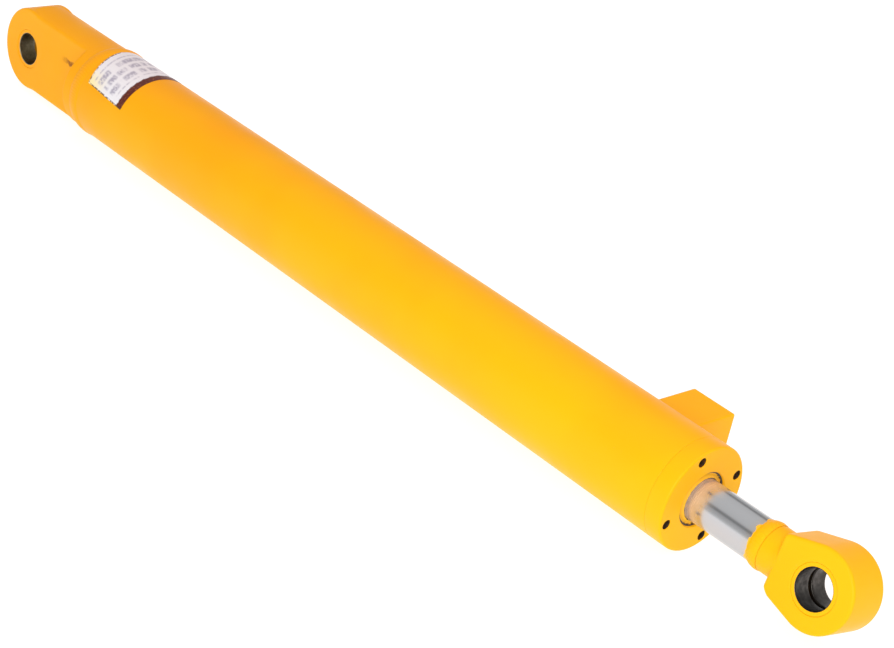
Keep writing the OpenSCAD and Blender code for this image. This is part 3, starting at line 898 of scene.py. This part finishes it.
def foot_bead(plan, normal, leg, pitch):
    """Fillet weld on the barrel round a foot whose plan outline is [x, z].

    At each point the bead's section runs from one leg up the foot's wall to one
    leg out along the barrel, between a straight line and a quarter circle, and
    crescent ripples follow the path.
    """
    x, z = plan.T
    y = np.sqrt(BARREL_R**2 - z**2)
    root = np.stack([x, y, z], -1)
    out = unit(np.stack([normal[:, 0], -normal[:, 1] * z / y, normal[:, 1]], -1))
    length = np.concatenate([[0], np.cumsum(np.linalg.norm(np.diff(root, axis=0), axis=-1))])
    whole = length[-1] + np.linalg.norm(root[0] - root[-1])
    along = length / whole * round(whole / pitch)
    t = np.linspace(0, 1, 15)[:, None]
    up = leg * (0.65 * (1 - t) + 0.35 * np.cos(t * math.pi / 2))
    away = leg * (0.65 * t + 0.35 * np.sin(t * math.pi / 2))
    lift = 0.0004 * ripple(along[None], t)
    up = np.concatenate([up + lift * 0.7, np.full((1, len(x)), -0.0004), np.full((1, len(x)), -0.0004)])
    away = np.concatenate([away + lift * 0.7, np.full((1, len(x)), leg), np.full((1, len(x)), -0.0006)])
    away[0] -= 0.0004
    return root + up[..., None] * Y_AXIS + away[..., None] * out


def port_loops(ring, heading_angle, drill_deep):
    """Loops from a port's drilled bottom up its thread to its mouth. ring(radius, depth) gives a loop."""
    depths = np.linspace(PORT_DEEP * 0.97, 0.0012, 90)
    cut = [ring(PORT_R + thread(deep, heading_angle), deep)[None] for deep in depths]
    return np.concatenate([
        between(ring(0.0005, drill_deep), ring(PORT_DRILL_R, drill_deep - PORT_CONE), 2),
        between(ring(PORT_DRILL_R, drill_deep - PORT_CONE), ring(PORT_DRILL_R, PORT_DEEP), 3),
        between(ring(PORT_DRILL_R, PORT_DEEP), ring(PORT_R, PORT_DEEP), 2),
        *cut,
        bend(ring(PORT_R, 0.0012), ring(PORT_R + 0.0004, 0.0004), ring(PORT_R + 0.0014, 0.0), 3),
    ])


def make_port_block():
    """Block of square bar on the barrel, drawn as loops about its port from the thread to the far face."""
    centre = np.array([BLOCK_PORT_Y, 0.0])
    foot_z = np.linspace(BLOCK_HALF, -BLOCK_HALF, 49)
    foot = np.stack([np.sqrt(BARREL_R**2 - foot_z**2) - FOOT_SUNK, foot_z], -1)
    top = rounded([foot[-1], [BLOCK_TOP, -BLOCK_HALF], [BLOCK_TOP, BLOCK_HALF], foot[0]],
                  [0, 0.0028, 0.0028, 0])
    outline = spaced(np.concatenate([foot, top[1:-1]]), 0.0014, closed=True) - centre
    edge = 0.0018
    inset = drawn_in(outline, edge)
    heading = unit(outline)

    def at(flat, x):
        return np.stack([np.full(len(flat), x), centre[0] + flat[:, 0], flat[:, 1]], -1)

    def ring(radius, deep):
        return at(heading * np.reshape(radius, (-1, 1)), BLOCK_BACK + deep)

    left_solid = 0.018
    bottom = BLOCK_FRONT - BLOCK_BACK - left_solid
    port = port_loops(ring, np.arctan2(heading[:, 1], heading[:, 0]), bottom)
    loops = np.concatenate([
        between(port[-1], at(inset, BLOCK_BACK), 14),
        bend(at(inset, BLOCK_BACK), at(outline, BLOCK_BACK), at(outline, BLOCK_BACK + edge), 5),
        between(at(outline, BLOCK_BACK + edge), at(outline, BLOCK_FRONT - edge), 16),
        bend(at(outline, BLOCK_FRONT - edge), at(outline, BLOCK_FRONT), at(inset, BLOCK_FRONT), 5),
        between(at(inset, BLOCK_FRONT), at(inset * 0.02, BLOCK_FRONT), 14),
    ])
    shell = Shell().fan(port[0], finish=1).grid(port, finish=1).grid(loops).fan(loops[-1])
    piece("port_block", shell, "barrel", [enamel, thread_steel], ["rod_port_block"])

    half = (BLOCK_FRONT - BLOCK_BACK) / 2
    middle = (BLOCK_FRONT + BLOCK_BACK) / 2
    plan = rounded([[-half, -BLOCK_HALF], [half, -BLOCK_HALF], [half, BLOCK_HALF], [-half, BLOCK_HALF]],
                   0.002, closed=True)
    plan = spaced(plan, 0.0006, closed=True)
    bead = foot_bead(plan + [middle, 0], outward(plan), WELD_LEG, WELD_PITCH)
    piece("port_block_weld", Shell().grid(bead, closed_rows=True), "barrel",
          [enamel], ["rod_port_weld"])


def make_port_boss():
    """Round boss at the base end, drawn as loops about its port down to its hollowed foot."""
    turn = np.arange(144) / 144 * TURN
    heading = np.stack([np.cos(turn), np.sin(turn)], -1)
    edge = 0.0012

    def ring(radius, deep):
        flat = heading * np.reshape(radius, (-1, 1))
        return np.stack([BOSS_X + flat[:, 0], np.full(len(flat), BOSS_TOP - deep), flat[:, 1]], -1)

    def saddle(radius):
        loop = ring(radius, 0.0)
        loop[:, 1] = np.sqrt(BARREL_R**2 - loop[:, 2] ** 2) - FOOT_SUNK
        return loop

    past_thread = 0.004
    port = port_loops(ring, turn, PORT_DEEP + past_thread)
    loops = np.concatenate([
        between(port[-1], ring(BOSS_R - edge, 0.0), 5),
        bend(ring(BOSS_R - edge, 0.0), ring(BOSS_R, 0.0), ring(BOSS_R, edge), 4),
        between(ring(BOSS_R, edge), saddle(BOSS_R), 8),
    ])
    shell = Shell().fan(port[0], finish=1).grid(port, finish=1).grid(loops).fan(loops[-1])
    piece("base_port_boss_body", shell, "barrel", [enamel, thread_steel],
          ["base_port_boss"])
    round_foot = np.arange(220) / 220 * TURN
    plan = BOSS_R * np.stack([np.cos(round_foot), np.sin(round_foot)], -1)
    bead = foot_bead(plan + [BOSS_X, 0], unit(plan), WELD_LEG, WELD_PITCH)
    piece("base_port_boss_weld", Shell().grid(bead, closed_rows=True), "barrel",
          [enamel], ["base_port_weld"])


def make_label_sheet():
    """Vinyl sheet bent round the barrel: a skewed four-sided patch of [x, angle], 0.2 mm thick."""
    corners = np.array([[[0.1373, 60.0], [0.2207, 60.0]], [[0.1518, 151.5], [0.2160, 157.0]]])
    down = np.linspace(0, 1, 97)[:, None, None]
    across = np.linspace(0, 1, 41)[None, :, None]
    edges = corners[0] * (1 - down) + corners[1] * down
    flat = edges[:, :1] * (1 - across) + edges[:, 1:] * across
    x = flat[..., 0]
    angle = np.radians(flat[..., 1])
    near_edge = np.minimum(np.minimum(down, 1 - down) * 24, np.minimum(across, 1 - across) * 20)[..., 0]
    lift = 0.00022 - 0.00005 * (1 - eased(near_edge))

    def skin(radius):
        return np.stack([x, radius * np.cos(angle), radius * np.sin(angle)], -1)

    top = skin(BARREL_R + lift)
    under = skin(BARREL_R + 0.00001)
    across_mm, down_mm = np.broadcast_arrays(across[..., 0] * LABEL_WIDE, down[..., 0] * LABEL_DOWN)
    measures = np.stack([across_mm, down_mm, 0 * down_mm], -1)
    shell = Shell().grid(top, closed_columns=False).grid(under, closed_columns=False)
    marks = [measures, measures]
    for edge in (np.s_[0], np.s_[-1], np.s_[:, 0], np.s_[:, -1]):
        shell.grid(np.stack([top[edge], under[edge]]), closed_columns=False)
        marks.extend([measures[edge], measures[edge]])
    marks = np.concatenate([mark.reshape(-1, 3) for mark in marks])
    piece("label_sheet", shell, "barrel", [vinyl], ["label"], marks=marks)


# -------------------------------------------------------------- rod group


def make_rod():
    """Rod turned from tail, stub and full diameter to the bevelled front."""
    outline = rounded(
        [[ROD_TAIL, 0.004], [ROD_TAIL, 0.015], [PISTON_FRONT, 0.015], [PISTON_FRONT, ROD_R],
         [ROD_FRONT - 0.005, ROD_R], [ROD_FRONT, 0.013], [ROD_FRONT, 0.010], [ROD_TIP, 0.010],
         [ROD_TIP, 0.004]],
        [0, 0.0015, 0, 0.0015, 0, 0, 0, 0.0008, 0])
    shell = Shell().solid(turned(spaced(outline, 0.02)))
    piece("chromed_rod", shell, "rod", [chrome], ["piston_rod"])


def make_rod_weld():
    """Weld ring in the vee between rod and collar, rippled and thick with paint."""
    outline = rounded(
        [[ROD_FRONT - 0.005, ROD_R], [ROD_FRONT, 0.013], [ROD_FRONT + 0.005, COLLAR_R - 0.0001],
         [ROD_FRONT + 0.0052, COLLAR_R + 0.0002], [ROD_FRONT + 0.002, COLLAR_R + 0.0008],
         [ROD_FRONT - 0.0015, COLLAR_R + 0.0006], [ROD_FRONT - 0.0050, ROD_R + 0.0009],
         [ROD_FRONT - 0.0064, ROD_R]],
        [0, 0, 0, 0, 0.0018, 0.0018, 0.0016, 0], closed=True)
    outline = spaced(outline, 0.0007, closed=True)
    left = ROD_FRONT - 0.0064
    right = ROD_FRONT + 0.0052

    def swell(x, a):
        across = (x - left) / (right - left)
        proud = outline[:, 1][:, None] > ROD_R + 0.0003
        uneven = 0.35 * np.sin(5 * a) + 0.2 * np.sin(13 * a + 1)
        return 0.00014 * proud * ripple(a / TURN * 36 + uneven, across)

    shell = Shell().grid(turned(outline, 384, swell=swell), closed_rows=True)
    piece("rod_eye_weld_bead", shell, "rod", [enamel], ["rod_eye_weld"])


def dress(node, finish):
    """Gives a CAD node a finish in place of its flat colour."""
    slots = frame["nodes"][node].data.materials
    slots.clear()
    slots.append(finish)


make_base_eye()
make_base_weld()
make_barrel()
make_gland()
make_wiper()
make_port_block()
make_port_boss()
make_label_sheet()
make_rod()
make_rod_weld()
make_rod_eye()
for side, which in ((-1, "near"), (1, "far")):
    make_bush(f"base_{which}_bush", "barrel", HERE, Y_AXIS, side, base_bush_steel, f"base_bush_{which}")
    make_bush(f"rod_{which}_bush", "rod", ROD_PIN, ROD_PIN_AXIS, side, rod_bush_painted_shade, f"rod_bush_{which}")
make_nipple("base_nipple", "barrel", HERE, Y_AXIS, BASE_EYE_R, "base_grease_nipple")
make_nipple("rod_nipple", "rod", ROD_PIN, ROD_PIN_AXIS, ROD_EYE_R, "rod_grease_nipple")

INSIDE = {
    "gland_o_ring": rubber,
    "gland_backup_ring": white_ptfe,
    "front_guide_ring": phenolic,
    "rear_guide_ring": phenolic,
    "rod_seal": polyurethane,
    "buffer_seal": green_ptfe,
    "piston": bright_steel,
    "piston_bore_ring": rubber,
    "piston_nut": bright_steel,
    "nut_lock_screw": black_steel,
    "piston_seal": green_ptfe,
    "seal_energizer": rubber,
    "rear_wear_ring": phenolic,
    "front_wear_ring": phenolic,
}
for node, finish in INSIDE.items():
    dress(node, finish)

# ------------------------------------------------------- studio and camera


FLOOR_GAP = 0.0006
FLOOR_GLOW = 0.86
# Brightness of the room by height: 0 is straight down, 0.5 the horizon and 1 straight up
ROOM_STOPS = [(0.0, 1.0), (0.52, 1.0), (0.57, 0.68), (0.69, 0.56), (0.735, 0.29), (0.775, 0.29),
              (0.825, 0.72), (1.0, 0.80)]


def make_floor():
    """Plain pale floor under the lowest point, a single wide sheet."""
    level = cad_box[0][2] - FLOOR_GAP
    wide = 40.0
    mesh = bpy.data.meshes.new("floor")
    mesh.from_pydata([(-wide, -wide, level), (wide, -wide, level), (wide, wide, level), (-wide, wide, level)],
                     [], [(0, 1, 2, 3)])
    floor = bpy.data.objects.new("floor", mesh)
    bpy.context.scene.collection.objects.link(floor)
    finish = Finish("pale_floor")
    tone = finish.mix(finish.noise(3.0), colour(0.30, 0.30, 0.30), colour(0.31, 0.31, 0.305))
    finish.set(Base_Color=tone, Roughness=0.8, Specular_IOR_Level=0.1,
               Emission_Color=colour(1.0, 1.0, 1.0), Emission_Strength=FLOOR_GLOW)
    mesh.materials.append(finish.material)


def add_light(name, place, aim, wide, high, power, tint=(1.0, 1.0, 1.0)):
    """Soft rectangular light at a place, facing a point."""
    data = bpy.data.lights.new(name, "AREA")
    data.shape = "RECTANGLE"
    data.size = wide
    data.size_y = high
    data.energy = power
    data.color = tint
    light = bpy.data.objects.new(name, data)
    bpy.context.scene.collection.objects.link(light)
    light.location = place
    light.rotation_euler = (Vector(aim) - Vector(place)).to_track_quat("-Z", "Y").to_euler()


def make_sky():
    """White room with a darker band all round it, deepest some 30 degrees up, for the chrome."""
    world = bpy.data.worlds.new("room")
    bpy.context.scene.world = world
    world.use_nodes = True
    tree = world.node_tree
    back = tree.nodes["Background"]
    way = tree.nodes.new("ShaderNodeTexCoord")
    split = tree.nodes.new("ShaderNodeSeparateXYZ")
    tree.links.new(way.outputs["Generated"], split.inputs["Vector"])
    level = tree.nodes.new("ShaderNodeMapRange")
    level.inputs["From Min"].default_value = -1.0
    tree.links.new(split.outputs["Z"], level.inputs["Value"])
    band = tree.nodes.new("ShaderNodeValToRGB")
    while len(band.color_ramp.elements) < len(ROOM_STOPS):
        band.color_ramp.elements.new(0.5)
    for element, (spot, tone) in zip(band.color_ramp.elements, ROOM_STOPS):
        element.position = spot
        element.color = colour(tone, tone, tone)
    tree.links.new(level.outputs["Result"], band.inputs["Fac"])
    tree.links.new(band.outputs["Color"], back.inputs["Color"])
    back.inputs["Strength"].default_value = 1.0


CAMERA_PLACE = (1.8885, -1.2840, 0.8735)
CAMERA_RIGHT = (0.65261309, 0.73428877, 0.18685864)
CAMERA_UP = (-0.44982183, 0.17701981, 0.87539951)
CAMERA_BACK = (0.60971835, -0.65535028, 0.44582456)
SENSOR_WIDE_MM = 36.0
LENS_MM = 85.13


def make_camera():
    """Long-lens camera above the rod end's near side, a little rolled."""
    data = bpy.data.cameras.new("camera")
    data.sensor_width = SENSOR_WIDE_MM
    data.lens = LENS_MM
    data.clip_start = 0.01
    data.clip_end = 200.0
    camera = bpy.data.objects.new("camera", data)
    bpy.context.scene.collection.objects.link(camera)
    camera.matrix_world = Matrix([
        [CAMERA_RIGHT[0], CAMERA_UP[0], CAMERA_BACK[0], CAMERA_PLACE[0]],
        [CAMERA_RIGHT[1], CAMERA_UP[1], CAMERA_BACK[1], CAMERA_PLACE[1]],
        [CAMERA_RIGHT[2], CAMERA_UP[2], CAMERA_BACK[2], CAMERA_PLACE[2]],
        [0, 0, 0, 1],
    ])
    bpy.context.scene.camera = camera


make_floor()
make_sky()
add_light("key", place=(2.1, -1.9, 1.0), aim=(0.8, 0.0, 0.0), wide=1.8, high=1.4, power=34.0)
add_light("top", place=(1.55, 0.45, 2.1), aim=(0.75, 0.0, 0.0), wide=1.6, high=1.6, power=19.0,
          tint=(1.0, 0.46, 0.36))
make_camera()
bpy.context.scene.view_settings.view_transform = "Standard"
